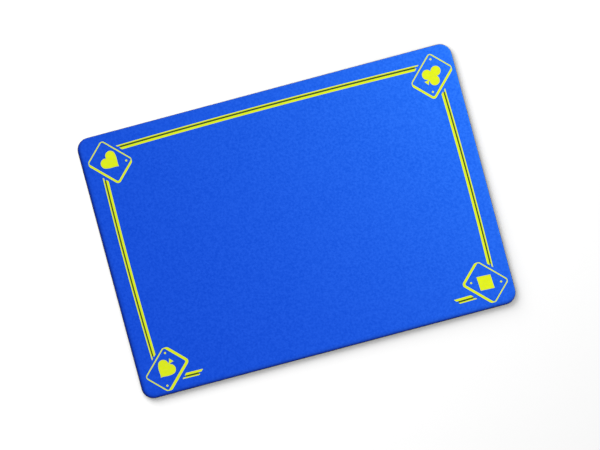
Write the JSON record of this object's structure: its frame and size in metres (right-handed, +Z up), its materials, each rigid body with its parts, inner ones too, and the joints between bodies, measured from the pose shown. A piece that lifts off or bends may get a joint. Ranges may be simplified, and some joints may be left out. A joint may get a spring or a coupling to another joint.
{
  "type": "close-up card mat",
  "caption": "Thin flat play mat with a napped cloth face, sponge core and non-slip base, printed with a line border and an ace card in each corner.",
  "frame": {"origin": "centre of the underside", "axes": "+X along the long side, +Y to the far edge with the heart and club cards, +Z up"},
  "size_m": [0.4, 0.278, 0.0057],
  "materials": {
    "face_cloth": "short-nap brushed cloth, matt",
    "ink": "screen-printed ink, matt with a faint sheen",
    "bond_film": "thin dried adhesive",
    "sponge_rubber": "closed-cell sponge, matt",
    "base_rubber": "dense moulded rubber, satin"
  },
  "bodies": {
    "root": {"grip_base": "base_rubber", "sponge_core": "sponge_rubber", "bond_film": "bond_film", "face_cloth": "face_cloth", "heart_card": "ink", "heart_pip": "ink", "heart_dot": "ink", "club_card": "ink", "club_pip": "ink", "club_dots": "ink", "spade_card": "ink", "spade_pip": "ink", "spade_dots": "ink", "diamond_card": "ink", "diamond_pip": "ink", "diamond_dots": "ink", "back_outer_line": "ink", "back_inner_line": "ink", "left_outer_line": "ink", "left_inner_line": "ink", "right_outer_line": "ink", "right_inner_line": "ink", "front_left_outer_line": "ink", "front_left_inner_line": "ink", "front_right_outer_line": "ink", "front_right_inner_line": "ink"}
  },
  "joints": []
}
